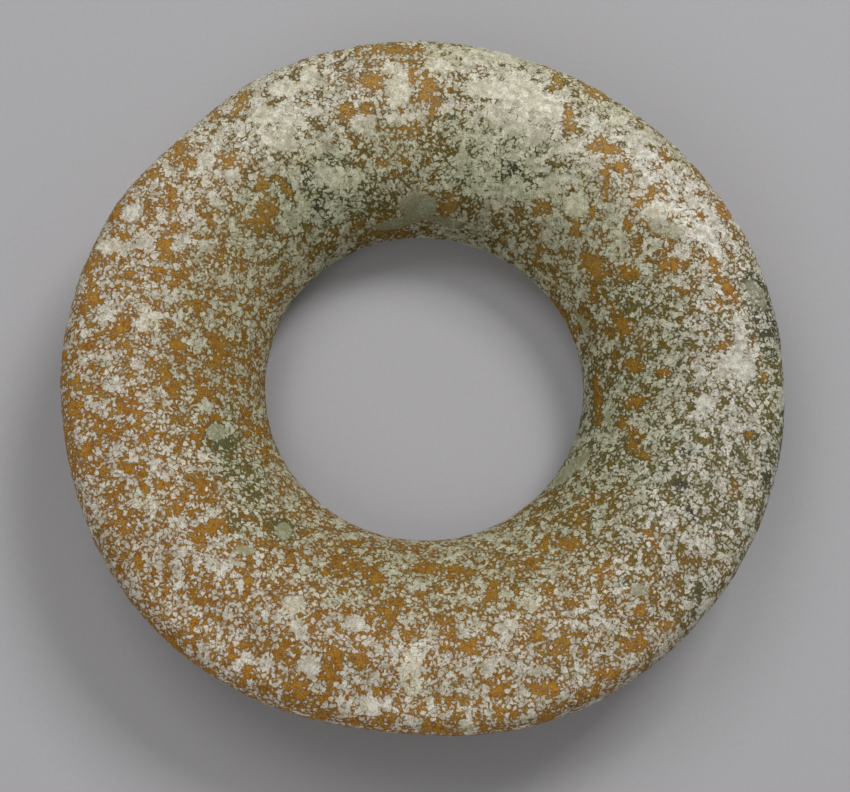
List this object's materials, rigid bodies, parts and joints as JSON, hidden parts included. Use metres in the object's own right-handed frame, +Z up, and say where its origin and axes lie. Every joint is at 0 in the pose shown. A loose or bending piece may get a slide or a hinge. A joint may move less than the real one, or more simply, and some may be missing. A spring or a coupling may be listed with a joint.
{
  "type": "jade ring",
  "caption": "Thick hand-ground stone ring lying flat, its top sloping in as a smooth funnel to a round open hole, with a rounded rim.",
  "frame": {"origin": "under the middle of the ring, on the plane that the ring rests on", "axes": "+Z up, along the axis of the hole; +X and +Y in the plane that the ring rests on"},
  "size_m": [0.124, 0.1234, 0.0223],
  "materials": {
    "mottled_jade": "waxy polish, mottled cream and orange-brown"
  },
  "bodies": {
    "root": {"ring": "mottled_jade"}
  },
  "joints": []
}
